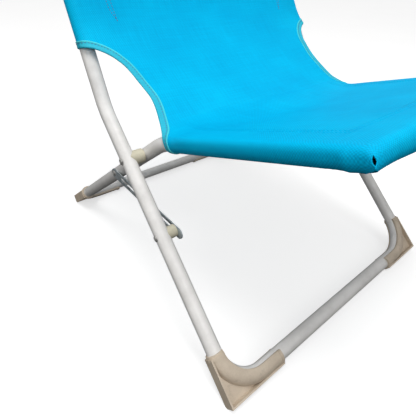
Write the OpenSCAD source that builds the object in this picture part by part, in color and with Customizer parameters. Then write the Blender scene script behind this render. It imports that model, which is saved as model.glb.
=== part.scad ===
// Folding camp chair: two crossed tube frames, a fabric sling and two slotted stays.
// The sitter faces -Y, so the sitter's right is -X. The floor is z = 0.

/* [Frame tube] */
// Outside diameter of the frame tube
tube_d = 22; // [20:0.5:25]
// Wall of the frame tube
tube_wall = 1.2; // [1:0.1:1.6]
// Centreline radius of the square corners of both frames
corner_r = 57; // [50:1:62]
// Centreline radius of the gentle bends in the side tubes
bend_r = 120; // [100:5:150]
// Length of a swaged end inside the next tube
spigot_len = 30; // [20:1:40]

/* [Back frame] */
// Middle of the chair to the centreline of a back frame side tube
back_half_w = 246; // [240:1:260]
// How far ahead of the pivots the front ground bar lies
front_reach = 252; // [235:1:265]
// Pivot to the bend above it
back_bend_at = 85; // [75:1:95]
// How far that bend stands the backrest up from the leg's line
back_bend = 17; // [12:0.5:22]
// Bend to the centreline of the top bar
back_len = 450; // [430:5:480]

/* [Seat frame] */
// Middle of the chair to the centreline of a seat frame side tube
seat_half_w = 211; // [209:0.5:212]
// How far behind the pivots the rear ground bar lies
rear_reach = 308; // [295:1:320]
// Pivot to the bend ahead of it
seat_bend_at = 54; // [48:1:60]
// How far that bend levels the seat rail from the leg's line
seat_bend = 19; // [15:0.5:22]
// Bend to the centreline of the front bar
seat_len = 309; // [295:1:320]

/* [Stance] */
// Height of the pivots
pivot_h = 260; // [250:1:270]
// Height of the centrelines of the ground bars
bar_h = 14; // [13.6:0.1:14.2]
// How far the pivots lie behind the middle of the chair's depth
pivot_y = 10.7; // [0:0.1:30]

/* [Pivots] */
// Radius of the pivot rivets
pivot_r = 4; // [3:0.5:5]
// Radius of a pivot rivet's head
pivot_head_r = 6; // [5:0.5:8]
// Radial clearance of everything that turns on a rivet
running = 0.08; // [0.02:0.01:0.1]

/* [Stays] */
// Pivot to each end rivet of a stay, the same on both legs
stay_reach = 123; // [118:1:128]
// Width of the slotted strip
stay_w = 17; // [16:0.5:19]
// Thickness of the slotted strip
stay_t = 2; // [1.5:0.1:2.5]
// Strip beyond the pin
stay_tip = 18; // [14:1:22]
// Radius of the rivets and pins of the stays
stay_pin_r = 3; // [2.5:0.5:3.5]
// How far the frames fold together
fold_angle = 84; // [70:1:84]
// Diameter of the spacer on a stay pin
stay_spacer_d = 19; // [16:0.5:20]

/* [Feet] */
// Wall of a foot's sleeve round the tube
foot_wall = 2.3; // [2:0.1:2.5]
// Corner of the centrelines to the end of the sleeve on the leg
foot_leg_arm = 54; // [45:1:75]
// Corner of the centrelines to the end of the sleeve on the ground bar
foot_bar_arm = 91; // [75:1:100]
// How far past the tube's centre the sleeve reaches towards the inside of the bend
foot_grip = 8; // [5:0.5:9]
// Width of the raised walls along the outer edges
foot_flange_w = 18; // [16:1:20]
// Thickness of the raised walls and of the web
foot_plate = 2.5; // [2:0.1:3]

/* [Sling] */
// Thickness of the doubled fabric
fabric_t = 1.6; // [1.2:0.1:2]
// Side tube to the stitch line of a back sleeve
back_seam = 46; // [40:1:50]
// Side tube to the stitch line of a seat sleeve
seat_seam = 38; // [32:1:42]
// Bend of the backrest to the lower end of its sleeves
back_sleeve_start = 112; // [105:1:125]
// Bend of the seat rail to the rear end of its sleeves
seat_sleeve_start = 16; // [12:1:25]
// Half width of the fabric between the two pairs of sleeves
hip_half_w = 196; // [180:1:197]

/* [Hidden] */

$fn = 64;
far = 1200;
skin = 0.3;              // clearance between fabric and tube
edge_gap = 4;            // clearance between a panel's edge and the pocket round the end bar
tube_r = tube_d / 2;
bore_d = tube_d - 2 * tube_wall;
spigot_d = bore_d - 0.2;
spigot_bore = spigot_d - 2 * tube_wall;
neck_len = 6;
top_joint = 40;          // straight part of the top bar's arms below its corners
front_joint = 30;        // straight part of the front bar's arms behind its corners
drop = pivot_h - bar_h;
back_lean = atan(front_reach / drop);
seat_lean = atan(rear_reach / drop);
front_leg = norm([front_reach, drop]);
rear_leg = norm([rear_reach, drop]);

// Across the chair: the two tube faces that face each other, and the strip between them
back_inner_x = back_half_w - tube_r;
back_outer_x = back_half_w + tube_r;
seat_inner_x = seat_half_w - tube_r;
seat_outer_x = seat_half_w + tube_r;
strip_inner_x = seat_outer_x + 0.3;
strip_outer_x = strip_inner_x + stay_t;

// Stay: the legs' rivets and the pivot make an isosceles triangle
leg_angle = 180 - (90 - back_lean) - (90 - seat_lean);
open_len = 2 * stay_reach * sin(leg_angle / 2);
folded_len = 2 * stay_reach * sin((leg_angle - fold_angle) / 2);
stay_rear = [pivot_y + stay_reach * sin(seat_lean), pivot_h - stay_reach * cos(seat_lean)];
stay_front = [pivot_y - stay_reach * sin(back_lean), pivot_h - stay_reach * cos(back_lean)];
stay_angle = atan2(stay_front[1] - stay_rear[1], stay_front[0] - stay_rear[0]);
slot_play = 0.3;

sleeve_bore_r = tube_r + skin;
sleeve_r = sleeve_bore_r + fabric_t / 2;
foot_r = tube_r + foot_wall;

// Side view of the fabric between the sleeves, as [y, z] from the pivot
rail_point = [-66, 42];
hip_seat_end = [58, 122];
hip_back_start = [75, 133];
back_tilt = back_lean - back_bend;
seat_tilt = seat_lean + seat_bend;

// ---- places -----------------------------------------------------------------

// Origin at the pivots, +Z up the back frame's leg
module on_back_frame() translate([0, pivot_y, pivot_h]) rotate([-back_lean, 0, 0]) children();

// Origin at the bend of the back frame, +Z up the backrest
module on_backrest() on_back_frame() translate([0, 0, back_bend_at]) rotate([back_bend, 0, 0]) children();

// Origin at the pivots, +Z up the seat frame's leg towards the seat
module on_seat_frame() translate([0, pivot_y, pivot_h]) rotate([seat_lean, 0, 0]) children();

// Origin at the bend of the seat frame, +Z forward along the seat rail
module on_seat() on_seat_frame() translate([0, 0, seat_bend_at]) rotate([seat_bend, 0, 0]) children();

// The sitter's left is the mirror image of the right
module left_side() mirror([1, 0, 0]) children();

module both_sides() {
    children();
    left_side() children();
}

// Everything below the floor is cut away, which leaves the flats that the feet stand on
module above_floor() intersection() {
    children();
    translate([-far / 2, -far / 2, 0]) cube([far, far, far]);
}

// ---- shapes -----------------------------------------------------------------

// Rod through a gentle bend at the origin: it comes up +Z and turns towards -Y. It is drawn
// from the middle of the bend, so that both of its straight ends meet the bend alike.
module bent_rod(d, below, above, bend) {
    tangent = bend_r * tan(bend / 2);
    rotate([bend / 2, 0, 0]) translate([0, -bend_r / cos(bend / 2), 0]) rotate([90, 0, 90]) {
        rotate([0, 0, -bend / 2]) rotate_extrude(angle = bend) translate([bend_r, 0]) circle(d = d);
        for (end = [[0, above], [1, below]]) mirror([0, end[0], 0]) rotate([0, 0, bend / 2])
            translate([bend_r, 0, 0]) rotate([-90, 0, 0]) cylinder(d = d, h = end[1] - tangent);
    }
}

// Square corner with its centrelines meeting at the origin: one arm along +X, one along +Z
module corner_rod(d, arm_x, arm_z) {
    translate([corner_r, 0, corner_r]) rotate([90, 0, 0]) rotate([0, 0, 180]) rotate_extrude(angle = 90)
        translate([corner_r, 0]) circle(d = d);
    if (arm_x > corner_r) translate([corner_r, 0, 0]) rotate([0, 90, 0]) cylinder(d = d, h = arm_x - corner_r);
    if (arm_z > corner_r) translate([0, 0, corner_r]) cylinder(d = d, h = arm_z - corner_r);
}

// Bar along X with a square corner and an arm up +Z at each end
module u_rod(d, half_w, arm) {
    translate([-half_w, 0, 0]) corner_rod(d, half_w, arm);
    translate([half_w, 0, 0]) mirror([1, 0, 0]) corner_rod(d, half_w, arm);
}

// The same bar as a hollow tube whose two ends are swaged to slip inside the side tubes
module u_tube(half_w, arm) {
    difference() {
        u_rod(tube_d, half_w, arm);
        u_rod(bore_d, half_w, arm);
    }
    for (x = [-half_w, half_w]) translate([x, 0, arm]) difference() {
        union() {
            translate([0, 0, -neck_len]) cylinder(d = bore_d + tube_wall, h = neck_len);
            translate([0, 0, -0.01]) cylinder(d = spigot_d, h = spigot_len);
        }
        translate([0, 0, -neck_len - 1]) cylinder(d = spigot_bore, h = neck_len + spigot_len + 2);
    }
}

// Side tube with its bend, bored across for the rivets at the listed heights: [z, radius]
module side_tube(below, above, bend, bores) difference() {
    bent_rod(tube_d, below, above, bend);
    bent_rod(bore_d, below + 1, above + 1, bend);
    for (b = bores) translate([-tube_d, 0, b[0]]) rotate([0, 90, 0]) cylinder(r = b[1], h = 2 * tube_d);
}

// Domed head on the plane z = 0, with the small dimple of a closed rivet
module rivet_head(r, h) difference() {
    dome_r = (r * r + h * h) / (2 * h);
    intersection() {
        translate([0, 0, h - dome_r]) sphere(r = dome_r);
        cylinder(r = r, h = h);
    }
    translate([0, 0, h - 0.9]) cylinder(r = r * 0.34, h = 1);
}

// Rivet across the chair from x = inner to x = outer, with a head on each end
module rivet(r, head_r, inner, outer) {
    head_h = head_r * 0.42;
    translate([inner - 0.01, 0, 0]) rotate([0, 90, 0]) cylinder(r = r, h = outer - inner + 0.02);
    translate([outer, 0, 0]) rotate([0, 90, 0]) rivet_head(head_r, head_h);
    translate([inner, 0, 0]) rotate([0, -90, 0]) rivet_head(head_r, head_h);
}

// Round spacer across the chair, hollowed at its outer end to sit on the back frame's tube
module spacer(d, bore_r, inner) difference() {
    translate([inner, 0, 0]) rotate([0, 90, 0]) cylinder(d = d, h = back_half_w - inner);
    translate([back_half_w, 0, -far / 2]) cylinder(d = tube_d + 0.04, h = far);
    translate([inner - 1, 0, 0]) rotate([0, 90, 0]) cylinder(r = bore_r, h = far);
}

// Flat outline of everything more than d inside the centreline of a corner
module inside_corner(d) translate([corner_r, corner_r]) {
    circle(r = corner_r - d);
    translate([d - corner_r, 0]) square(far);
    translate([0, d - corner_r]) square(far);
}

// Sleeve of a foot, open along the inside of the bend so that it presses on from outside
module foot_sleeve() difference() {
    union() {
        corner_rod(2 * foot_r, foot_bar_arm, foot_leg_arm);
        translate([0, 0, foot_leg_arm - 4]) cylinder(r = foot_r + 1, h = 4);
        translate([foot_bar_arm - 4, 0, 0]) rotate([0, 90, 0]) cylinder(r = foot_r + 1, h = 4);
    }
    rotate([90, 0, 0]) translate([0, 0, -far / 2]) linear_extrude(far) inside_corner(foot_grip);
}

// Moulded foot on a square corner: a sleeve, a web out to a sharp corner and two raised walls
module foot() difference() {
    union() {
        foot_sleeve();
        rotate([90, 0, 0]) translate([0, 0, -foot_plate / 2]) linear_extrude(foot_plate) difference() {
            translate([-foot_r, -foot_r]) square(corner_r + foot_r);
            translate([corner_r, corner_r]) circle(r = corner_r);
        }
        translate([-foot_r, -foot_flange_w / 2, -foot_r]) cube([foot_plate, foot_flange_w, foot_leg_arm + foot_r]);
        translate([-foot_r, -foot_flange_w / 2, -foot_r]) cube([foot_bar_arm + foot_r, foot_flange_w, foot_plate]);
    }
    corner_rod(tube_d + 0.1, foot_bar_arm + 1, foot_leg_arm + 1);
}

// Fabric sleeve along +Z round a tube at the origin, closed by a seam at x = seam
module sleeve(len, seam) linear_extrude(len) difference() {
    union() {
        circle(r = sleeve_r);
        translate([0, -fabric_t / 2]) square([seam, fabric_t]);
    }
    circle(r = sleeve_bore_r);
}

// Slab of fabric whose side view follows the points, as [y, z] from the pivot
module fabric(points, half_w) {
    upper = [for (p = points) p + [0, fabric_t / 2]];
    lower = [for (i = [len(points) - 1:-1:0]) points[i] - [0, fabric_t / 2]];
    translate([-half_w, pivot_y, pivot_h]) rotate([90, 0, 90]) linear_extrude(2 * half_w)
        polygon(concat(upper, lower));
}

// Slotted strip: a round hole at the origin and a slot along +X that ends at the open length
module slotted_strip() linear_extrude(stay_t) difference() {
    union() {
        circle(d = stay_w);
        translate([0, -stay_w / 2]) square([open_len + stay_tip - stay_w / 2, stay_w]);
        translate([open_len + stay_tip - stay_w / 2, 0]) circle(d = stay_w);
    }
    circle(r = stay_pin_r + running);
    for (x = [folded_len - 3, open_len + slot_play]) translate([x, 0]) circle(r = stay_pin_r + slot_play);
    translate([folded_len - 3, -stay_pin_r - slot_play])
        square([open_len + slot_play - folded_len + 3, 2 * (stay_pin_r + slot_play)]);
}

// ---- back frame -------------------------------------------------------------

module side_tube_right() color("gainsboro") on_back_frame()
    translate([-back_half_w, 0, back_bend_at]) side_tube(
        back_bend_at + front_leg - corner_r, back_len - corner_r - top_joint, back_bend,
        [[-back_bend_at, pivot_r + running], [-back_bend_at - stay_reach, stay_pin_r + running]]);

module side_tube_left() left_side() side_tube_right();

module front_ground_bar() color("whitesmoke") on_back_frame()
    translate([0, 0, -front_leg]) u_tube(back_half_w, corner_r);

module top_bar() color("whitesmoke") on_backrest()
    translate([0, 0, back_len]) mirror([0, 0, 1]) u_tube(back_half_w, corner_r + top_joint);

module front_foot_right() color("tan") above_floor() on_back_frame()
    translate([-back_half_w, 0, -front_leg]) foot();

module front_foot_left() left_side() front_foot_right();

module pivot_rivets() color("silver") both_sides() left_side() on_back_frame()
    rivet(pivot_r, pivot_head_r, seat_inner_x, back_outer_x);

module pivot_spacer_right() left_side() pivot_spacer_left();

module pivot_spacer_left() color("wheat") on_back_frame()
    spacer(tube_d, pivot_r + running, seat_outer_x + 0.05);

module stay_pins() color("slategray") both_sides() left_side() on_back_frame()
    translate([0, 0, -stay_reach]) rivet(stay_pin_r, stay_pin_r + 2.2, strip_inner_x - 0.3, back_outer_x);

module stay_spacer_right() left_side() stay_spacer_left();

module stay_spacer_left() color("wheat") on_back_frame()
    translate([0, 0, -stay_reach]) spacer(stay_spacer_d, stay_pin_r + running, strip_outer_x + 0.3);

// ---- seat frame -------------------------------------------------------------

module seat_tube_right() color("gainsboro") on_seat_frame()
    translate([-seat_half_w, 0, seat_bend_at]) side_tube(
        seat_bend_at + rear_leg - corner_r, seat_len - corner_r - front_joint, seat_bend,
        [[-seat_bend_at, pivot_r + running], [-seat_bend_at - stay_reach, stay_pin_r + running]]);

module seat_tube_left() left_side() seat_tube_right();

module rear_ground_bar() color("whitesmoke") on_seat_frame()
    translate([0, 0, -rear_leg]) u_tube(seat_half_w, corner_r);

module seat_front_bar() color("whitesmoke") on_seat()
    translate([0, 0, seat_len]) mirror([0, 0, 1]) u_tube(seat_half_w, corner_r + front_joint);

module rear_foot_right() color("tan") above_floor() on_seat_frame()
    translate([-seat_half_w, 0, -rear_leg]) mirror([0, 1, 0]) foot();

module rear_foot_left() left_side() rear_foot_right();

module stay_rivets() color("dimgray") both_sides() on_seat_frame()
    translate([0, 0, -stay_reach]) rivet(stay_pin_r, stay_pin_r + 2.5, seat_inner_x, strip_outer_x + 0.05);

// ---- stays ------------------------------------------------------------------

module stay_strip_left() color("lightslategray")
    translate([strip_inner_x, stay_rear[0], stay_rear[1]]) rotate([stay_angle, 0, 0]) rotate([90, 0, 90])
    slotted_strip();

module stay_strip_right() left_side() stay_strip_left();

// ---- sling ------------------------------------------------------------------

// Upper end of the fabric between the back sleeves
back_sleeve_end = back_len - corner_r;
seat_sleeve_end = seat_len - corner_r;

// Point on the line of the backrest or of the seat rail, as [y, z] from the pivot
function on_back_line(t) = back_bend_at * [sin(back_lean), cos(back_lean)] + t * [sin(back_tilt), cos(back_tilt)];
function on_seat_line(t) = seat_bend_at * [-sin(seat_lean), cos(seat_lean)] + t * [-sin(seat_tilt), cos(seat_tilt)];

module sling_back() color("deepskyblue") fabric(
    [hip_back_start, on_back_line(back_sleeve_start + 20), on_back_line(back_len - sleeve_r - edge_gap)],
    hip_half_w);

module back_sleeve_right() color("deepskyblue") on_backrest()
    translate([-back_half_w, 0, back_sleeve_start]) sleeve(back_sleeve_end - back_sleeve_start, back_seam);

module back_sleeve_left() left_side() back_sleeve_right();

module top_pocket() color("deepskyblue") on_backrest()
    translate([corner_r - back_half_w, 0, back_len]) rotate([0, 90, 0]) difference() {
        cylinder(r = sleeve_r, h = 2 * (back_half_w - corner_r));
        translate([0, 0, -1]) cylinder(r = sleeve_bore_r, h = far);
    }

module sling_seat() color("deepskyblue") fabric(
    [hip_seat_end, rail_point, on_seat_line(seat_sleeve_start + 30), on_seat_line(seat_len - sleeve_r - edge_gap)],
    seat_half_w - seat_seam - 0.5);

module seat_sleeve_right() color("deepskyblue") on_seat()
    translate([-seat_half_w, 0, seat_sleeve_start]) sleeve(seat_sleeve_end - seat_sleeve_start, seat_seam);

module seat_sleeve_left() left_side() seat_sleeve_right();

module front_pocket() color("deepskyblue") on_seat()
    translate([corner_r - seat_half_w, 0, seat_len]) rotate([0, 90, 0]) difference() {
        cylinder(r = sleeve_r, h = 2 * (seat_half_w - corner_r));
        translate([0, 0, -1]) cylinder(r = sleeve_bore_r, h = far);
    }

side_tube_right();
side_tube_left();
front_ground_bar();
top_bar();
front_foot_right();
front_foot_left();
pivot_rivets();
pivot_spacer_right();
pivot_spacer_left();
stay_pins();
stay_spacer_right();
stay_spacer_left();
seat_tube_right();
seat_tube_left();
rear_ground_bar();
seat_front_bar();
rear_foot_right();
rear_foot_left();
stay_rivets();
stay_strip_right();
stay_strip_left();
sling_back();
back_sleeve_right();
back_sleeve_left();
top_pocket();
sling_seat();
seat_sleeve_right();
seat_sleeve_left();
front_pocket();
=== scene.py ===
from math import acos, atan2, cos, exp, hypot, pi, radians, sin

import bmesh
import bpy
from mathutils import Matrix, Vector


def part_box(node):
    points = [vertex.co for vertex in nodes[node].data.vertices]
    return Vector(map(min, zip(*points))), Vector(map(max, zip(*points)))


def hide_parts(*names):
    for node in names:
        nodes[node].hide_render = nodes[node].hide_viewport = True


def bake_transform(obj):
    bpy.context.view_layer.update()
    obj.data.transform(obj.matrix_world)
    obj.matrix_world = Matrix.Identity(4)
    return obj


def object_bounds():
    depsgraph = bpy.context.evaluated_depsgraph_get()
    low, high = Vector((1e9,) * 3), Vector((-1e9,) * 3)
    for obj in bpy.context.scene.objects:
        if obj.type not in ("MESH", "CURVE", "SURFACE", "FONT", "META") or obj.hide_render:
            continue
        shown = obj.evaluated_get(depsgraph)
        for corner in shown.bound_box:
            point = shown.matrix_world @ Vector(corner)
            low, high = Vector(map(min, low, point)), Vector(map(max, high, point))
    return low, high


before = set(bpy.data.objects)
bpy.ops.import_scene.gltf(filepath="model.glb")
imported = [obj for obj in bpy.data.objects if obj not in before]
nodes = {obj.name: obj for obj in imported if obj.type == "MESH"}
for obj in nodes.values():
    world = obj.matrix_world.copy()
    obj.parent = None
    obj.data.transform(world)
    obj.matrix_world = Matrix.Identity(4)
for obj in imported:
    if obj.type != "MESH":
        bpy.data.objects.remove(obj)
cadBox = [[float(value) for value in corner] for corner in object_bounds()]
print("frame loaded,", len(nodes), "parts")


# small helpers

def middleOf(node):
    low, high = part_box(node)
    return (Vector(low) + Vector(high)) / 2


def newPiece(name, bm, material):
    mesh = bpy.data.meshes.new(name)
    bm.to_mesh(mesh)
    bm.free()
    for polygon in mesh.polygons:
        polygon.use_smooth = True
    mesh.materials.append(material)
    piece = bpy.data.objects.new(name, mesh)
    bpy.context.scene.collection.objects.link(piece)
    return piece


def between(stops, at):  # straight lines between (place, value) stops
    if at <= stops[0][0]:
        return stops[0][1]
    for (fromAt, fromValue), (toAt, toValue) in zip(stops, stops[1:]):
        if at <= toAt:
            return fromValue + (toValue - fromValue) * (at - fromAt) / (toAt - fromAt)
    return stops[-1][1]


def eased(stops, at, reach):  # the same, with its corners rounded
    return sum(between(stops, at + reach * k / 4) for k in range(-4, 5)) / 9


def ease(x):
    x = min(1.0, max(0.0, x))
    return x * x * (3 - 2 * x)


# shader helpers

class Wire:  # a value on its way through a material, with + - * / on it
    def __init__(self, board, socket):
        self.board = board
        self.socket = socket

    def maths(self, operation, other, turned=False):
        pair = (other, self) if turned else (self, other)
        return self.board.add("ShaderNodeMath", {"operation": operation}, {0: pair[0], 1: pair[1]})

    def __add__(self, other):
        return self.maths("ADD", other)

    def __radd__(self, other):
        return self.maths("ADD", other)

    def __sub__(self, other):
        return self.maths("SUBTRACT", other)

    def __rsub__(self, other):
        return self.maths("SUBTRACT", other, True)

    def __mul__(self, other):
        return self.maths("MULTIPLY", other)

    def __rmul__(self, other):
        return self.maths("MULTIPLY", other)

    def __truediv__(self, other):
        return self.maths("DIVIDE", other)

    def __pow__(self, other):
        return self.maths("POWER", other)


class Board:  # the nodes of one material
    def __init__(self, name, owner=None):  # owner is a world, where it isn't a new material
        self.material = owner or bpy.data.materials.new(name)
        self.material.use_nodes = True
        self.tree = self.material.node_tree
        self.tree.nodes.clear()

    def add(self, kind, settings=None, sockets=None, out=0):
        node = self.tree.nodes.new(kind)
        for key, value in (settings or {}).items():
            if key == "stops":
                ramp = node.color_ramp
                while len(ramp.elements) < len(value):
                    ramp.elements.new(0.5)
                for element, (place, level) in zip(ramp.elements, value):
                    element.position = place
                    element.color = level if hasattr(level, "__len__") else (level, level, level, 1)
            else:
                setattr(node, key, value)
        for key, value in (sockets or {}).items():
            if isinstance(value, Wire):
                self.tree.links.new(value.socket, node.inputs[key])
            else:
                node.inputs[key].default_value = value
        if out is None:
            return [Wire(self, socket) for socket in node.outputs]
        return Wire(self, node.outputs[out]) if len(node.outputs) else None

    def place(self):  # where on the piece, in metres
        return self.add("ShaderNodeTexCoord", out="Object")

    def cloth(self):  # where on the flat cut, in metres
        return self.add("ShaderNodeTexCoord", out="UV")

    def parts(self, vector):
        return self.add("ShaderNodeSeparateXYZ", None, {0: vector}, out=None)

    def noise(self, vector, scale, detail=3, roughness=0.55):
        return self.add("ShaderNodeTexNoise", {"noise_dimensions": "3D"},
                        {"Vector": vector, "Scale": scale, "Detail": detail, "Roughness": roughness})

    def ramp(self, value, *stops):
        return self.add("ShaderNodeValToRGB", {"stops": stops}, {0: value})

    def blendColours(self, factor, first, second, how="MIX"):
        return self.add("ShaderNodeMix", {"data_type": "RGBA", "blend_type": how},
                        {0: factor, 6: first, 7: second}, out=2)

    def bump(self, height, distance, strength=1.0, under=None):
        sockets = {"Height": height, "Distance": distance, "Strength": strength}
        if under:
            sockets["Normal"] = under
        return self.add("ShaderNodeBump", None, sockets)

    def shade(self, **sockets):
        names = {key.replace("_", " "): value for key, value in sockets.items()}
        if "IOR Level" in names:
            names["Specular IOR Level"] = names.pop("IOR Level")
        surface = self.add("ShaderNodeBsdfPrincipled", None, names)
        self.add("ShaderNodeOutputMaterial", None, {"Surface": surface})
        return self.material


def tone(red, green, blue):
    return (red, green, blue, 1)


# materials

clothLook = {
    "thread": 0.0032,         # pitch of the weave
    "blue": tone(0.000, 0.585, 0.930),
    "deep": tone(0.000, 0.420, 0.760),
}


def makeCloth(name, low, high, thread, shine=0.0):
    board = Board(name)
    flat = board.cloth()
    across, along, depth = board.parts(flat)
    warp = board.add("ShaderNodeMath", {"operation": "SINE"}, {0: across * (2 * pi / thread)})
    weft = board.add("ShaderNodeMath", {"operation": "SINE"}, {0: along * (2 * pi / thread)})
    weave = warp * weft * 0.5 + 0.5
    patches = board.noise(flat, 9, 2)
    fibres = board.noise(flat, 900, 2)
    stretchAlong = board.add("ShaderNodeMapping", None, {"Vector": flat, "Scale": (420, 14, 1)})
    stretchAcross = board.add("ShaderNodeMapping", None, {"Vector": flat, "Scale": (14, 420, 1)})
    slubs = board.noise(stretchAlong, 1, 2) * 0.5 + board.noise(stretchAcross, 1, 2) * 0.5
    fade = board.ramp(patches * 0.35 + fibres * 0.25 + slubs * 0.40, (0.36, low), (0.62, high))
    dark = board.blendColours(0.45, fade, tone(0.0, 0.09, 0.22), "MIX")
    colour = board.blendColours(weave * 0.78 + 0.24, dark, fade)
    rough = fibres * 0.15 + 0.50
    crease = board.noise(flat, 26, 3)
    soft = board.bump(crease, 0.0018, 0.35)
    normal = board.bump(weave, 0.00025, 0.7, soft)
    return board.shade(Base_Color=colour, Roughness=rough, Normal=normal, IOR_Level=0.04,
                       Sheen_Weight=shine, Sheen_Roughness=0.45)


def makeCoat(name, low, high):  # powder coated steel
    board = Board(name)
    where = board.place()
    peel = board.noise(where, 900, 2)
    cloud = board.noise(where, 14, 3)
    dust = board.noise(where, 60, 4, 0.65)
    colour = board.ramp(cloud * 0.6 + dust * 0.4, (0.34, low), (0.58, high))
    scuff = board.ramp(board.noise(where, 210, 5, 0.7), (0.67, 0.0), (0.74, 1.0))
    marked = board.blendColours(scuff * 0.30, colour, tone(0.38, 0.37, 0.35))
    rough = dust * 0.22 + 0.24 + scuff * 0.15
    normal = board.bump(peel, 0.00012, 0.5)
    return board.shade(Base_Color=marked, Roughness=rough, Normal=normal, Coat_Weight=0.25)


def makeMould(name, low, high, grain, gloss):  # moulded plastic
    board = Board(name)
    where = board.place()
    speck = board.noise(where, grain, 2)
    cloud = board.noise(where, 24, 3)
    colour = board.ramp(cloud * 0.75 + speck * 0.25, (0.34, low), (0.64, high))
    grime = board.ramp(board.noise(where, 75, 5, 0.7), (0.56, 0.0), (0.74, 1.0))
    marked = board.blendColours(grime * 0.35, colour, tone(0.20, 0.16, 0.115))
    rough = speck * 0.20 + gloss
    normal = board.bump(speck, 0.00018, 0.6)
    return board.shade(Base_Color=marked, Roughness=rough, Normal=normal, IOR_Level=0.42)


def makeSteel(name, low, high, grain, roughness):  # plated steel
    board = Board(name)
    where = board.place()
    spangle = board.add("ShaderNodeTexVoronoi", {"feature": "F1"},
                        {"Vector": where, "Scale": grain}, out="Color")
    flake = board.parts(spangle)[0]
    cloud = board.noise(where, 90, 4, 0.65)
    colour = board.ramp(flake * 0.35 + cloud * 0.65, (0.30, low), (0.68, high))
    rough = cloud * 0.22 + roughness + flake * 0.08
    normal = board.bump(board.noise(where, 1300, 2), 0.00008, 0.5)
    return board.shade(Base_Color=colour, Metallic=0.6, Roughness=rough, Normal=normal)


slingCloth = makeCloth("woven_polyester", clothLook["deep"], clothLook["blue"], clothLook["thread"])
hemCloth = makeCloth("hem_tape", tone(0.030, 0.50, 0.68), tone(0.055, 0.62, 0.78), 0.0011)
# a lighter copy of the hem tape: a painted highlight for the top of the hem's bead
rimHighlightCloth = makeCloth("hem_rim_painted_highlight", tone(0.07, 0.70, 0.76), tone(0.12, 0.82, 0.84), 0.0011)
blueThread = makeCloth("blue_thread", tone(0.0, 0.44, 0.76), tone(0.0, 0.56, 0.88), 0.0005)
threadLook = makeCloth("sewing_thread", tone(0.10, 0.16, 0.34), tone(0.16, 0.23, 0.44), 0.0005)
finishes = {
    "tube": makeCoat("powder_coat", tone(0.74, 0.725, 0.705), tone(0.88, 0.865, 0.845)),
    "foot": makeMould("foot_plastic", tone(0.55, 0.46, 0.36), tone(0.70, 0.60, 0.48), 700, 0.42),
    "spacer": makeMould("spacer_plastic", tone(0.54, 0.50, 0.38), tone(0.68, 0.64, 0.50), 900, 0.36),
    "rivet": makeSteel("rivet_steel", tone(0.34, 0.34, 0.33), tone(0.70, 0.69, 0.66), 420, 0.24),
    "stay": makeSteel("zinc_strip", tone(0.36, 0.42, 0.45), tone(0.62, 0.68, 0.71), 260, 0.32),
}
for part in nodes.values():
    for place in part.material_slots:
        key = place.material.name.split(".")[0] if place.material else ""
        if key in finishes:
            place.material = finishes[key]
print("materials on the frame")

# the lines that the cloth follows

cloth = {
    "tubeRadius": 0.0119,     # middle of the cloth round a 22 mm tube
    "thickness": 0.0008,
    "seatStart": 0.016,       # sleeve ends, from the bends in the tubes
    "backStart": 0.105,
    "seatSeam": 0.038,        # seams, inboard of the tubes
    "backSeam": 0.046,
    "seatSleeveMiddle": 0.134,
    "backSleeveMiddle": 0.2525,
    "cornerRadius": 0.057,
    "tail": 0.006,            # seam allowance past the stitches
    "lip": 0.0085,            # cloth that turns down at an open corner
    "railCrease": 0.66,       # 1 is round, less is squarer along the seat rails
    "barCrease": 0.74,        # the same, over the cross bars
    "roundFrom": 0.016,       # the rails' fold is round from here to the hem
    "shortFlap": 0.049,
    "seatSag": 0.006,
    "hipSag": 0.009,
    "backSag": 0.005,
    "pocketHang": 0.006,
    "cornerDroop": 0.05,      # share of the empty corner that the cloth sinks into
    "ventFrom": 0.012,        # the open corner starts here, along the tube
    "ventWidth": 0.005,
    "ventBulge": 0.0022,      # how far its edge stands out
    "closing": 0.004,         # how far its edges close towards each other
    "closeFrom": 0.008,
    "tuckFrom": 0.013,        # and where they tuck under
    "tuckOver": 0.011,
    "shortOver": 0.03,        # a flap gets shorter over this length
    "edgeReach": 0.003,       # rounds the hip cut
}
radius = cloth["tubeRadius"]
seatHalf = abs(middleOf("seat_tube_left").x)
backHalf = abs(middleOf("side_tube_left").x)


def sideOf(point):
    return Vector((0, point.y, point.z))


seatBar = sideOf(middleOf("front_pocket"))
seatMid = sideOf(middleOf("seat_sleeve_right"))
backBar = sideOf(middleOf("top_pocket"))
backMid = sideOf(middleOf("back_sleeve_right"))
seatAlong = (seatBar - seatMid).normalized()
backAlong = (backBar - backMid).normalized()
seatUp = Vector((0, seatAlong.z, -seatAlong.y))
backUp = Vector((0, -backAlong.z, backAlong.y))
seatRoot = seatMid - seatAlong * cloth["seatSleeveMiddle"]
backRoot = backMid - backAlong * cloth["backSleeveMiddle"]
seatLength = (seatBar - seatRoot).length
backLength = (backBar - backRoot).length
hipLow = seatRoot + seatAlong * cloth["seatStart"] + seatUp * radius
hipHigh = backRoot + backAlong * cloth["backStart"] + backUp * radius
hipLength = (hipHigh - hipLow).length
hipAlong = (hipHigh - hipLow).normalized()
frontEnd = cloth["seatStart"] - seatLength          # v runs from the front bar up to the top bar
topEnd = hipLength + backLength - cloth["backStart"]


def straightPath(v):
    if v < 0:
        return hipLow - seatAlong * v
    if v < hipLength:
        return hipLow + hipAlong * v
    return hipHigh + backAlong * (v - hipLength)


def smoothPath(v, reach):
    if v < -0.09 or v > hipLength + 0.09:
        return straightPath(v)
    return sum((straightPath(v + reach * k / 8) for k in range(-8, 9)), Vector()) / 17


def centreHalf(v):  # half the distance between the tubes
    return seatHalf + (backHalf - seatHalf) * ease((v - 0.02) / (hipLength - 0.045))


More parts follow.
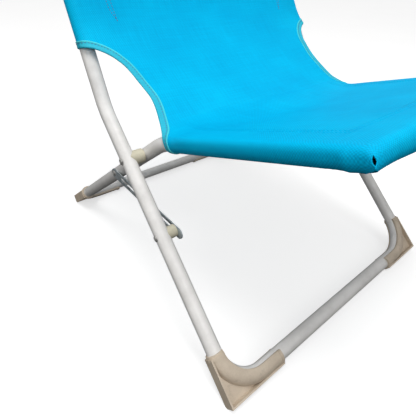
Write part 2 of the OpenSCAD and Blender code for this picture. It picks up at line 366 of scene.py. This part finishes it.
hipEdge = [  # the hollow cut at the hip: along the cut, half its width there
    (-0.013, 0.2950), (-0.010, 0.2640), (-0.007, 0.2410), (-0.004, 0.2290), (0.001, 0.2215),
    (0.009, 0.2165), (0.020, 0.2120), (0.034, 0.2078), (0.050, 0.2042), (0.065, 0.2025),
    (0.080, 0.2035), (0.094, 0.2055), (0.112, 0.2085), (0.131, 0.2130), (0.148, 0.2220),
    (0.160, 0.2330), (0.168, 0.2440), (0.174, 0.2580), (0.180, 0.2820), (0.185, 0.3090),
    (0.190, 0.3460),
]


def seamOf(v):
    return cloth["seatSeam"] if v < hipLength / 2 else cloth["backSeam"]


def flapLength(seam):
    reach = hypot(seam, radius - 0.001)
    turn = 2 * pi - (atan2(radius - 0.001, -seam) + acos(radius / reach))
    return radius * (pi / 2 + turn) + (reach * reach - radius * radius) ** 0.5 + cloth["tail"]


def roundTube(a, seam, gap=0.0, crisp=1.0):
    # a runs from the top of a tube out, round and under it and back in to the seam; gives out and down
    quarter = radius * pi / 2
    if a < quarter:
        turn = a / radius
        return radius * sin(turn) ** crisp, radius * (1 - cos(turn) ** crisp)
    a -= quarter
    if a < gap:
        return radius, radius + a
    a -= gap
    reach = hypot(seam, radius - 0.001)
    turn = 2 * pi - (atan2(radius - 0.001, -seam) + acos(radius / reach))
    if a < turn * radius:
        return radius * cos(a / radius), radius + gap + radius * sin(a / radius)
    a -= turn * radius
    leave = Vector((radius * cos(turn), -radius * sin(turn)))
    meet = Vector((-seam, radius - 0.001))
    run = (meet - leave).length
    spot = leave.lerp(meet, min(1, a / run))
    spot.x -= max(0, a - run)
    return spot.x, radius + gap - spot.y


def sleeveEdge(v):  # where the cloth is cut, across
    if v < 0.2 * hipLength:
        full = seatHalf + flapLength(cloth["seatSeam"])
        short = seatHalf + cloth["shortFlap"]
        if v < -0.2:
            return short + (full - short) * ease((v - frontEnd - 0.018) / cloth["shortOver"])
        return min(full, eased(hipEdge, v, cloth["edgeReach"]))
    if v > hipLength - 0.0005:
        full = backHalf + flapLength(cloth["backSeam"])
        short = backHalf + cloth["shortFlap"]
        return short + (full - short) * ease((topEnd - 0.018 - v) / cloth["shortOver"])
    return eased(hipEdge, v, cloth["edgeReach"])


def pocketLength(u, half, seam):  # how far the cloth wraps round a cross bar
    full = flapLength(seam)
    return full + (cloth["shortFlap"] - full) * ease((abs(u) - half + 0.055) / 0.035)


folds = [  # soft creases across the hip: where at the middle, lean, width, depth
    (0.010, 0.10, 0.012, -0.0016),
    (0.046, 0.16, 0.016, 0.0012),
    (0.088, 0.12, 0.020, -0.0012),
]


def pressOf(u, v):  # how far the cloth sinks below its stretched line
    wide = centreHalf(v)
    away = max(-v, v - hipLength)
    free = wide - (0.02 + (seamOf(v) - 0.02) * ease(away / 0.06))
    belly = max(0.0, 1 - (u / free) ** 2) ** 1.3
    if v < 0:
        depth = cloth["seatSag"] * sin(pi * min(1, (v - frontEnd) / (2 * -frontEnd)))
        depth += (cloth["hipSag"] - cloth["seatSag"]) * ease(1 + v / 0.12)
    elif v < hipLength:
        depth = cloth["hipSag"]
    else:
        depth = cloth["backSag"] * max(0.0, cos(pi / 2 * min(1, (v - hipLength) / (topEnd - hipLength))))
        depth += (cloth["hipSag"] - cloth["backSag"]) * ease(1 - (v - hipLength) / 0.12)
    creases = 0.0
    for start, lean, width, deep in folds:
        off = (v - start - lean * (u + 0.2) * 0.12) / width
        creases += deep * exp(-off * off) * min(1.0, max(0.0, (wide + 0.01 - abs(u)) / 0.05))
    return depth * belly - creases


def clothPoint(u, v):
    side = 1 if u > 0 else -1
    across = abs(u)
    over = min(max(v, frontEnd), topEnd)
    wide = centreHalf(over)
    reach = 0.030 + 0.055 * max(0.0, 1 - (across / wide) ** 2)
    place = smoothPath(over, reach)
    ahead = smoothPath(over + 0.002, reach) - smoothPath(over - 0.002, reach)
    ahead.normalize()
    normal = Vector((0, -ahead.z, ahead.y))
    x = across
    sideDown = 0.0
    if across > wide:
        low = over < hipLength / 2
        up = seatUp if low else backUp
        root = seatRoot if low else backRoot
        normal = up
        gap = max(0.0, (place - root).dot(up) - radius)
        squared = ease(-(over + cloth["roundFrom"]) / 0.03)  # round again before the hem
        crisp = 1 - (1 - cloth["railCrease"]) * squared
        out, down = roundTube(across - wide, seamOf(over), gap, crisp)
        x = wide + out
        place = place - up * down
        sideDown = down
    else:
        place = place - normal * pressOf(across, over)
    if v < frontEnd or v > topEnd:
        front = v < frontEnd
        half = seatHalf if front else backHalf
        seam = cloth["seatSeam"] if front else cloth["backSeam"]
        away = seatAlong if front else backAlong
        up = seatUp if front else backUp
        out, down = roundTube(frontEnd - v if front else v - topEnd, seam, 0.0, cloth["barCrease"])
        hang = cloth["pocketHang"] if front else cloth["pocketHang"] * 0.4
        hang *= max(0.0, 1 - (across / (half * 0.95)) ** 2) * (1 + 0.25 * sin(u * 38))
        down *= 1 + hang / (2 * radius)
        ahead = out * (1.10 if out > 0 else 1.0)
        if across > wide:  # the free edges close towards each other, then tuck under together
            closing = cloth["closing"] * ease((down - cloth["closeFrom"]) / 0.007)
            x += closing * min(1, (across - wide) / cloth["lip"])
            x = wide + (x - wide) * (1 - ease((down - cloth["tuckFrom"]) / cloth["tuckOver"]))
            closing = cloth["closing"] * ease((sideDown - cloth["closeFrom"]) / 0.007)
            ahead += closing * min(1, max(0, out) / cloth["lip"])
            ahead *= 1 - ease((sideDown - cloth["tuckFrom"]) / cloth["tuckOver"])
        place = place + away * ahead - up * (down - down * sideDown / (2 * radius))
    pinch = (min(over - frontEnd, topEnd - over) - cloth["ventFrom"]) / cloth["ventWidth"]
    bulge = cloth["ventBulge"] * exp(-pinch * pinch)
    x += bulge * ease(sideDown / 0.010) * ease((0.030 - sideDown) / 0.008)
    # the cloth droops where a bent tube leaves the square corner empty
    half = seatHalf if over < hipLength / 2 else backHalf
    along = (frontEnd - over) if over < hipLength / 2 else (over - topEnd)
    beyondX = x - (half - cloth["cornerRadius"])
    beyondY = along + cloth["cornerRadius"]
    if v < frontEnd:
        beyondY += out
    if v > topEnd:
        beyondY += out
    if beyondX > 0 and beyondY > 0:
        empty = hypot(beyondX, beyondY) - cloth["cornerRadius"] - radius
        if empty > 0:
            up = seatUp if over < hipLength / 2 else backUp
            place = place - up * (cloth["cornerDroop"] * empty)
    return Vector((side * x, place.y, place.z))


def clothNormal(u, v):
    step = 0.0012
    acrossStep = clothPoint(u + step, v) - clothPoint(u - step, v)
    alongStep = clothPoint(u, v + step) - clothPoint(u, v - step)
    return acrossStep.cross(alongStep).normalized()


# the sling, one cloth cut flat and sewn round the tubes

grid = {
    "panelColumns": 34,
    "flapColumns": 30,
    "flapRows": 30,
    "seatRows": 46,
    "hipRows": 64,
    "backRows": 46,
    "openFrom": 6,            # corner squares past this one are cut away
    "hipFrom": -0.014,        # the fine rows start and end here
    "hipPast": 0.004,
}

backFrom = hipLength + grid["hipPast"]
hipFine = [(0, grid["hipFrom"]), (0.24, 0.026), (0.78, hipLength - 0.036), (1, backFrom)]
rowList = [("front", 1 - i / grid["flapRows"]) for i in range(grid["flapRows"])]
seatRun = grid["hipFrom"] - frontEnd
rowList += [("panel", frontEnd + seatRun * i / grid["seatRows"]) for i in range(grid["seatRows"])]
rowList += [("panel", between(hipFine, i / grid["hipRows"])) for i in range(grid["hipRows"])]
backRun = topEnd - backFrom
rowList += [("panel", backFrom + backRun * i / grid["backRows"]) for i in range(grid["backRows"] + 1)]
rowList += [("top", (i + 1) / grid["flapRows"]) for i in range(grid["flapRows"])]
columnCount = 2 * (grid["panelColumns"] + grid["flapColumns"])
rowCount = len(rowList) - 1


def flatPlace(column, row):  # a grid corner's place on the flat cut
    count = column - columnCount // 2
    side = 1 if count > 0 else -1
    count = abs(count)
    zone, share = rowList[row]
    over = frontEnd if zone == "front" else topEnd if zone == "top" else share
    cut = sleeveEdge(over)
    turn = min(centreHalf(over), cut - 0.012)
    if count <= grid["panelColumns"]:
        u = turn * count / grid["panelColumns"]
    else:
        u = turn + (cut - turn) * (count - grid["panelColumns"]) / grid["flapColumns"]
    if zone == "front":
        return side * u, frontEnd - share * pocketLength(u, seatHalf, cloth["seatSeam"])
    if zone == "top":
        return side * u, topEnd + share * pocketLength(u, backHalf, cloth["backSeam"])
    return side * u, over


def makeSling():
    bm = bmesh.new()
    bmesh.ops.create_grid(bm, x_segments=columnCount, y_segments=rowCount, size=1)
    places = {}
    for vert in bm.verts:
        column = round((vert.co.x + 1) / 2 * columnCount)
        row = round((vert.co.y + 1) / 2 * rowCount)
        places[vert] = (column, row)
    openColumn = grid["panelColumns"] + grid["openFrom"]
    lowRow = grid["flapRows"] - grid["openFrom"]
    spare = []
    for face in bm.faces:
        columns = [abs(places[vert][0] - columnCount // 2) for vert in face.verts]
        rows = [places[vert][1] for vert in face.verts]
        beyond = max(rows) <= lowRow or min(rows) >= rowCount - lowRow
        if min(columns) >= openColumn and beyond:
            spare.append(face)
    bmesh.ops.delete(bm, geom=spare, context="FACES")
    flat = {vert: flatPlace(*places[vert]) for vert in bm.verts}
    layer = bm.loops.layers.uv.new("cut")
    area = 0.0
    for face in bm.faces:
        corners = [flat[loop.vert] for loop in face.loops]
        for loop, (u, v) in zip(face.loops, corners):
            loop[layer].uv = (u, v)
        following = corners[1:] + corners[:1]
        area += 0.5 * abs(sum(a[0] * b[1] - b[0] * a[1] for a, b in zip(corners, following)))
    for vert in bm.verts:
        vert.co = clothPoint(*flat[vert])
    widths = [abs(u) for u, v in flat.values()]
    runs = [v for u, v in flat.values()]
    size = (2 * max(widths), max(runs) - min(runs))
    bmesh.ops.recalc_face_normals(bm, faces=bm.faces)
    if sum(face.normal.z for face in bm.faces) < 0:
        bmesh.ops.reverse_faces(bm, faces=bm.faces)
    return newPiece("sling", bm, slingCloth), size, area


sling, cutSize, cutArea = makeSling()
wall = sling.modifiers.new("cloth", "SOLIDIFY")
wall.thickness = cloth["thickness"]
wall.offset = 0
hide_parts("sling_back", "back_sleeve_right", "back_sleeve_left", "top_pocket",
            "sling_seat", "seat_sleeve_right", "seat_sleeve_left", "front_pocket")
print("sling sewn, cut", [round(value, 3) for value in cutSize], "area", round(cutArea, 4))

# hems round the open hips

hem = {
    "steps": 150,
    "highlightRows": 3,             # rows of the cross-section on top of the bead, in a lighter cloth that paints a highlight on it
    # cross-section, from the inner edge on top, round the cut edge, to the inner edge below
    "section": [(0.0118, 0.0004), (0.0117, 0.0013), (0.0108, 0.0017), (0.0100, 0.0011), (0.0065, 0.0011),
                (0.0025, 0.0014), (0.0005, 0.0011), (-0.0003, 0.0), (0.0005, -0.0011), (0.0025, -0.0014),
                (0.0065, -0.0011), (0.0108, -0.0012), (0.0118, -0.0004)],
}


def cutLine(side, count):  # the hip edge on the flat cut, in even steps
    steps = 900
    along = [grid["hipFrom"] + (hipLength + 0.0142) * k / steps for k in range(steps + 1)]
    raw = [(sleeveEdge(v), v) for v in along]
    lengths = [0.0]
    for a, b in zip(raw, raw[1:]):
        lengths.append(lengths[-1] + hypot(b[0] - a[0], b[1] - a[1]))
    line = []
    for k in range(count + 1):
        want = lengths[-1] * k / count
        line.append((between(list(zip(lengths, [p[0] for p in raw])), want),
                     between(list(zip(lengths, [p[1] for p in raw])), want)))
    rounded = []
    for k in range(count + 1):
        near = line[max(0, k - 2):k + 3]
        rounded.append((side * sum(p[0] for p in near) / len(near), sum(p[1] for p in near) / len(near)))
    return rounded


def inward(line, k, side):  # unit vector from the cut edge into the cloth
    before, after = line[max(0, k - 1)], line[min(len(line) - 1, k + 1)]
    alongU, alongV = after[0] - before[0], after[1] - before[1]
    length = hypot(alongU, alongV)
    return -side * alongV / length, side * alongU / length


def makeHem(name, side):
    line = cutLine(side, hem["steps"])
    count = len(hem["section"]) - 1
    bm = bmesh.new()
    bmesh.ops.create_grid(bm, x_segments=hem["steps"], y_segments=count, size=1)
    layer = bm.loops.layers.uv.new("cut")
    bm.faces.index_update()
    rowOf = [int((face.calc_center_median().y + 1) / 2 * count) for face in bm.faces]
    for vert in bm.verts:
        k = round((vert.co.x + 1) / 2 * hem["steps"])
        j = round((vert.co.y + 1) / 2 * count)
        inset, lift = hem["section"][j]
        inU, inV = inward(line, k, side)
        u = line[k][0] + inU * inset
        v = line[k][1] + inV * inset
        normal = clothNormal(u, v)
        for loop in vert.link_loops:
            loop[layer].uv = (0.0015 * k, inset if lift > 0 else 0.03 - inset)
        vert.co = clothPoint(u, v) + normal * lift
    bmesh.ops.recalc_face_normals(bm, faces=bm.faces)
    for face in bm.faces:
        # the top of the bead gets the lighter cloth, a painted highlight
        face.material_index = 1 if rowOf[face.index] < hem["highlightRows"] else 0
    piece = newPiece(name, bm, hemCloth)
    piece.data.materials.append(rimHighlightCloth)
    return piece


hems = [makeHem("hem_right", -1), makeHem("hem_left", 1)]
for piece in hems:
    skin = piece.modifiers.new("cloth", "SOLIDIFY")
    skin.thickness = 0.0004
    skin.offset = 0
print("hems on")

# stitching

stitch = {
    "pitch": 0.0046,
    "length": 0.0034,
    "width": 0.0011,
    "rise": 0.0008,
    "sideGap": 0.007,         # between the two rows of a side seam
    "barGap": 0.006,          # and of a pocket seam
    "hemInset": 0.0082,       # from the cut edge
    "seatLift": 0.0005,       # above the middle of the cloth
    "backLift": 0.0008,
    "hemLift": 0.0015,
    "hemDrop": -0.0016,
}


def sewLine(points):  # (u, v) corners to evenly spaced stitches
    spots = []
    left = 0.0
    for a, b in zip(points, points[1:]):
        run = hypot(b[0] - a[0], b[1] - a[1])
        while left < run:
            share = left / run
            spots.append((a[0] + (b[0] - a[0]) * share, a[1] + (b[1] - a[1]) * share,
                          (b[0] - a[0]) / run, (b[1] - a[1]) / run))
            left += stitch["pitch"]
        left -= run
    return spots


def makeStitching():
    bead = bmesh.new()
    bmesh.ops.create_icosphere(bead, subdivisions=1, radius=0.5)
    bmesh.ops.scale(bead, vec=(stitch["length"], stitch["width"], stitch["rise"]), verts=bead.verts)
    seed = bpy.data.meshes.new("stitch")
    bead.to_mesh(seed)
    bead.free()
    seatRow = seatHalf - cloth["seatSeam"]
    backRow = backHalf - cloth["backSeam"]
    frontRow = frontEnd + cloth["seatSeam"]
    topRow = topEnd - cloth["backSeam"]
    sewn = []
    seatSewn = []
    for side in (-1, 1):
        for inset in (0.0, stitch["sideGap"]):
            row = seatRow + inset
            line = [(side * row, 0.002), (side * row, frontRow - inset)]
            seatSewn += [(spot, stitch["seatLift"]) for spot in sewLine(line)]
            row = backRow - inset
            low = (side * (backRow - 0.0095), hipLength + 0.024)  # the two rows meet here
            bend = (side * (row - 0.0015), hipLength + 0.044)
            line = [low, bend, (side * row, hipLength + 0.08), (side * row, topRow)]
            sewn += [(spot, stitch["backLift"]) for spot in sewLine(line)]
        line = cutLine(side, hem["steps"])
        inner = []
        for k in range(len(line)):
            inU, inV = inward(line, k, side)
            inner.append((line[k][0] + inU * stitch["hemInset"], line[k][1] + inV * stitch["hemInset"]))
        sewn += [(spot, stitch["hemLift"]) for spot in sewLine(inner)]
        sewn += [(spot, stitch["hemDrop"]) for spot in sewLine(inner)]
    for inset in (0.0, stitch["barGap"]):
        row = frontRow - inset
        seatSewn += [(spot, stitch["seatLift"]) for spot in sewLine([(-seatRow, row), (seatRow, row)])]
        row = topRow + inset
        sewn += [(spot, stitch["backLift"]) for spot in sewLine([(-backRow, row), (backRow, row)])]
    pieces = []
    for name, spots, look in [("stitching", sewn, threadLook), ("seat_stitching", seatSewn, blueThread)]:
        pieces.append(sewPiece(name, spots, look, seed))
    bpy.data.meshes.remove(seed)
    return pieces


def sewPiece(name, spots, look, seed):
    bm = bmesh.new()
    for (u, v, du, dv), lift in spots:
        place = clothPoint(u, v)
        normal = clothNormal(u, v)
        ahead = clothPoint(u + du * 0.002, v + dv * 0.002) - clothPoint(u - du * 0.002, v - dv * 0.002)
        ahead = (ahead - normal * ahead.dot(normal)).normalized()
        turned = Matrix((ahead, normal.cross(ahead), normal)).transposed().to_4x4()
        moved = Matrix.Translation(place + normal * lift) @ turned
        seed.transform(moved)
        bm.from_mesh(seed)
        seed.transform(moved.inverted())
    print(name, len(spots), "stitches")
    return newPiece(name, bm, look)


stitching = makeStitching()

for piece in [sling] + stitching + hems:
    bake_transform(piece)

# floor, lights and camera

studio = {
    "floorSize": 60.0,
    "floorTone": tone(0.60, 0.60, 0.60),
    "floorGlow": 0.62,
    "below": 0.05,            # light from under the horizon
    "lowest": -0.3,
    "skyline": 0.55,
    "overhead": 0.80,
    "worldStrength": 0.66,
    "wallRadius": 40.0,
    "wallGlow": 0.92,
    # place, aimed at, size, strength, tone
    "lamps": [
        ((-0.45, -0.35, 2.7), (0.0, 0.0, 0.3), 1.3, 42, (1.0, 0.995, 0.985)),
        ((-0.6, -2.2, 1.5), (0.0, 0.0, 0.3), 1.0, 9, (1.0, 1.0, 1.0)),
        ((-2.4, 0.2, 1.1), (-0.2, 0.0, 0.1), 1.4, 7, (1.0, 0.995, 0.985)),
    ],
}


def makeBackdrop(name, bm, glow):
    board = Board(name)
    grain = board.noise(board.place(), 3, 2)
    colour = board.ramp(grain, (0.3, tone(0.58, 0.58, 0.58)), (0.7, studio["floorTone"]))
    material = board.shade(Base_Color=colour, Roughness=0.9, IOR_Level=0.1,
                           Emission_Color=(1, 1, 1, 1), Emission_Strength=glow)
    mesh = bpy.data.meshes.new(name)
    bm.to_mesh(mesh)
    bm.free()
    mesh.materials.append(material)
    sheet = bpy.data.objects.new(name, mesh)
    sheet.visible_diffuse = False  # the underside of the chair stays in shade
    sheet.visible_glossy = False
    bpy.context.scene.collection.objects.link(sheet)
    return sheet


def makeStudio():
    bm = bmesh.new()
    bmesh.ops.create_grid(bm, x_segments=8, y_segments=8, size=studio["floorSize"])
    bmesh.ops.translate(bm, vec=(0, 0, cadBox[0][2] - 0.0005), verts=bm.verts)
    makeBackdrop("floor", bm, studio["floorGlow"])
    bm = bmesh.new()
    reach = studio["wallRadius"]
    bmesh.ops.create_cone(bm, cap_ends=False, segments=64, radius1=reach, radius2=reach, depth=2 * reach)
    wall = makeBackdrop("backdrop", bm, studio["wallGlow"])
    wall.visible_shadow = False


def lightRoom():
    world = bpy.data.worlds.new("studio")
    bpy.context.scene.world = world
    board = Board("studio", world)
    upward = board.parts(board.add("ShaderNodeTexCoord", out="Generated"))[2]
    height = board.add("ShaderNodeMapRange", None, {"Value": upward, "From Min": studio["lowest"]})
    sky = board.ramp(height, (0.14, studio["below"]), (0.28, studio["skyline"]), (0.8, studio["overhead"]))
    light = board.add("ShaderNodeBackground", None, {"Color": sky, "Strength": studio["worldStrength"]})
    board.add("ShaderNodeOutputWorld", None, {"Surface": light})
    for place, aim, size, strength, colour in studio["lamps"]:
        lamp = bpy.data.lights.new("softbox", "AREA")
        lamp.shape = "SQUARE"
        lamp.size = size
        lamp.energy = strength
        lamp.color = colour
        holder = bpy.data.objects.new("softbox", lamp)
        facing = (Vector(aim) - Vector(place)).to_track_quat("-Z", "Y")
        holder.matrix_world = Matrix.Translation(place) @ facing.to_matrix().to_4x4()
        bpy.context.scene.collection.objects.link(holder)


camera = {
    "place": (-0.48233, -0.44249, 0.53508),
    "yaw": 41.274,
    "pitch": -27.234,
    "roll": 2.571,
    "lens": 33.017,
    "sensor": 36.0,
    "shift": (-0.0048, -0.1357),
}


def setCamera():
    yaw, pitch, roll = (radians(camera[key]) for key in ("yaw", "pitch", "roll"))
    ahead = Vector((sin(yaw) * cos(pitch), cos(yaw) * cos(pitch), sin(pitch)))
    right = Vector((cos(yaw), -sin(yaw), 0))
    up = right.cross(ahead)
    turnedRight = right * cos(roll) + up * sin(roll)
    turnedUp = up * cos(roll) - right * sin(roll)
    data = bpy.data.cameras.new("camera")
    data.lens = camera["lens"]
    data.sensor_width = camera["sensor"]
    data.shift_x, data.shift_y = camera["shift"]
    holder = bpy.data.objects.new("camera", data)
    facing = Matrix((turnedRight, turnedUp, -ahead)).transposed().to_4x4()
    holder.matrix_world = Matrix.Translation(camera["place"]) @ facing
    bpy.context.scene.collection.objects.link(holder)
    bpy.context.scene.camera = holder


makeStudio()
lightRoom()
setCamera()
bpy.context.scene.view_settings.view_transform = "Standard"
print("floor, lights and camera set")
